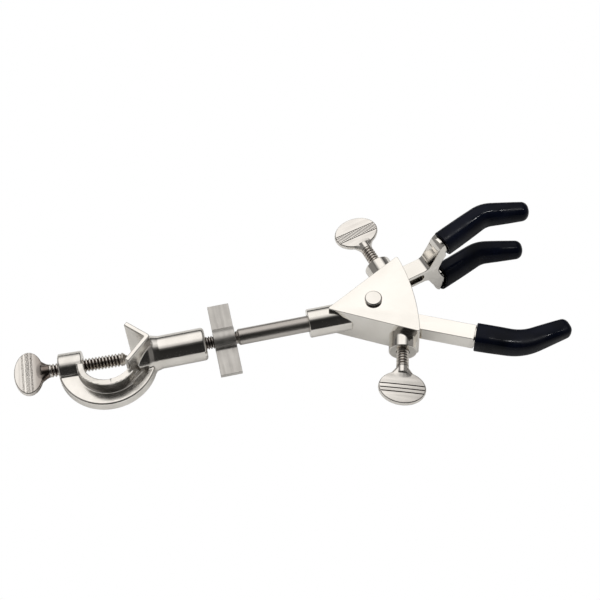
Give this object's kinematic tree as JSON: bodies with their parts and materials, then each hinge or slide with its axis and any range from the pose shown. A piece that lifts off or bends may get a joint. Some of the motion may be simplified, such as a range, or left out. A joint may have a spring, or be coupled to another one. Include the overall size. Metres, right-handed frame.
{
  "type": "three finger clamp",
  "caption": "Laboratory clamp: a boss head with a V jaw and thumb screw grips a stand rod; a rod carries a hinged fork and an opposed finger, each set by its own thumb screw.",
  "frame": {"origin": "centre of the gripped stand rod, at the middle of the V jaw", "axes": "+Z along the stand rod, +X from the boss head along the clamp's rod to the fingers, +Y towards the fork arm"},
  "size_m": [0.2687, 0.1123, 0.044],
  "materials": {
    "nickel_plate": "polished nickel plate",
    "cast_nickel": "nickel plated casting, smooth with faint cast ripple",
    "dull_nickel": "satin nickel plate",
    "rod_steel": "finely turned bright steel",
    "spring_steel": "drawn spring wire",
    "vinyl_sleeve": "glossy dipped vinyl"
  },
  "bodies": {
    "boss": {"boss_casting": "cast_nickel"},
    "boss_shank": {"boss_screw_shank": "nickel_plate"},
    "boss_head": {"boss_screw_head": "nickel_plate"},
    "rod_assembly": {"rod": "rod_steel", "housing": "nickel_plate", "pivot_rivet": "nickel_plate", "pivot_spacer": "rod_steel", "torsion_spring": "spring_steel"},
    "nut": {"lock_nut": "dull_nickel"},
    "fork": {"fork_arm": "nickel_plate", "upper_prong_sleeve": "vinyl_sleeve", "lower_prong_sleeve": "vinyl_sleeve"},
    "single": {"single_arm": "nickel_plate", "single_finger_sleeve": "vinyl_sleeve"},
    "fork_shank": {"fork_screw_shank": "nickel_plate"},
    "fork_head": {"fork_screw_head": "nickel_plate"},
    "single_shank": {"single_screw_shank": "nickel_plate"},
    "single_head": {"single_screw_head": "nickel_plate"}
  },
  "joints": [
    {"name": "boss_screw_travel", "type": "slide", "parent": "boss", "child": "boss_shank", "axis": [0.9993, -0.0384, 0], "range_m": [-0.02, 0.0028]},
    {"name": "boss_screw_turn", "type": "hinge", "parent": "boss_shank", "child": "boss_head", "pos_m": [0, 0, 0], "axis": [0.9993, -0.0384, 0], "range_deg": [-4500, 630]},
    {"name": "rod_swivel", "type": "hinge", "parent": "boss", "child": "rod_assembly", "pos_m": [0.03, 0, 0], "axis": [1, 0, 0], "range_deg": [-180, 180]},
    {"name": "lock_nut_turn", "type": "hinge", "parent": "rod_assembly", "child": "nut", "pos_m": [0.0465, 0, 0], "axis": [1, 0, 0], "range_deg": [-345, 1060]},
    {"name": "fork_swing", "type": "hinge", "parent": "rod_assembly", "child": "fork", "pos_m": [0.121, 0, 0], "axis": [0, 0, 1], "range_deg": [-22, 0], "deforming": ["torsion_spring"]},
    {"name": "single_swing", "type": "hinge", "parent": "rod_assembly", "child": "single", "pos_m": [0.121, 0, 0], "axis": [0, 0, 1], "range_deg": [-4.08, 20], "deforming": ["torsion_spring"]},
    {"name": "fork_screw_travel", "type": "slide", "parent": "rod_assembly", "child": "fork_shank", "axis": [0.2588, -0.9659, 0], "range_m": [0, 0.00605]},
    {"name": "fork_screw_turn", "type": "hinge", "parent": "fork_shank", "child": "fork_head", "pos_m": [0.1314, 0.0188, 0], "axis": [0.2588, -0.9659, 0], "range_deg": [-0.5, 1452.5]},
    {"name": "single_screw_travel", "type": "slide", "parent": "rod_assembly", "child": "single_shank", "axis": [0.2588, 0.9659, 0], "range_m": [-0.00108, 0.00528]},
    {"name": "single_screw_turn", "type": "hinge", "parent": "single_shank", "child": "single_head", "pos_m": [0.1314, -0.0188, 0], "axis": [0.2588, 0.9659, 0], "range_deg": [-258.5, 1265.5]}
  ],
  "couplings": [
    {"joint": "boss_screw_travel", "follows": "boss_screw_turn", "m_per_rad": 0.00025465},
    {"joint": "fork_screw_turn", "follows": "fork_swing", "ratio": -65.993},
    {"joint": "fork_screw_travel", "follows": "fork_swing", "m_per_rad": -0.015755},
    {"joint": "single_screw_turn", "follows": "single_swing", "ratio": 63.251},
    {"joint": "single_screw_travel", "follows": "single_swing", "m_per_rad": 0.0151}
  ]
}
